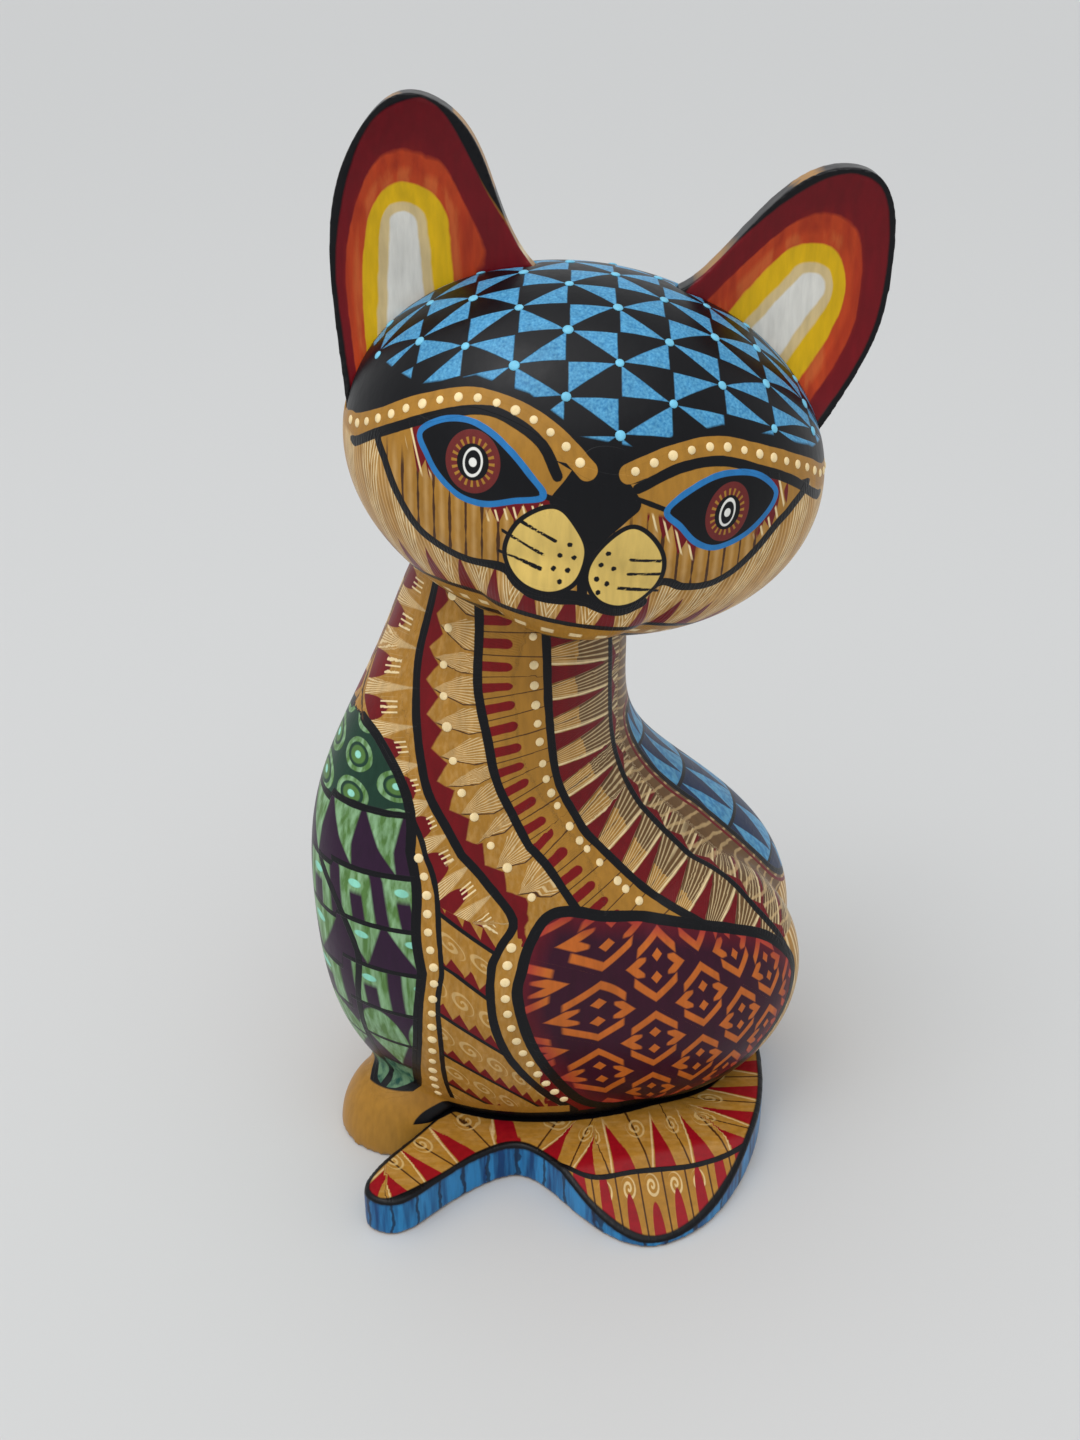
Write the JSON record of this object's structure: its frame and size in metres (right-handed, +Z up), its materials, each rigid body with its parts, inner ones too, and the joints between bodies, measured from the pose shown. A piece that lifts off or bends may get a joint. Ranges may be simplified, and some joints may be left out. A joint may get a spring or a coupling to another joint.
{
  "type": "alebrije figure",
  "caption": "Sitting cat carved in wood, head tilted and tail wrapped round the front of its feet, painted all over with fine bands, triangles and dots.",
  "frame": {"origin": "on the flat underside of the torso, under the middle of the body", "axes": "+Z up, -Y the way the face looks, +X to the figure's left as it faces the viewer's right, towards the rump"},
  "size_m": [0.0916, 0.0794, 0.1795],
  "materials": {
    "painted_torso": "ochre ground painted with black, maroon, cream, green and purple patterns, thin satin varnish",
    "painted_head": "black crown with sky blue triangles, ochre face with black, cream and maroon line work, thin satin varnish",
    "painted_ears": "nested arches brushed in maroon, orange, yellow, cream and white, black rim, thin satin varnish",
    "painted_tail": "ochre with maroon triangles and cream curls on top, blue edge, thin satin varnish",
    "bare_wood": "bare pale copal wood, sanded"
  },
  "bodies": {
    "root": {"torso": "painted_torso", "head": "painted_head", "left_ear": "painted_ears", "right_ear": "painted_ears", "tail": "painted_tail", "neck_dowel": "bare_wood", "left_ear_pegs": "bare_wood", "right_ear_pegs": "bare_wood", "tail_pegs": "bare_wood"}
  },
  "joints": []
}
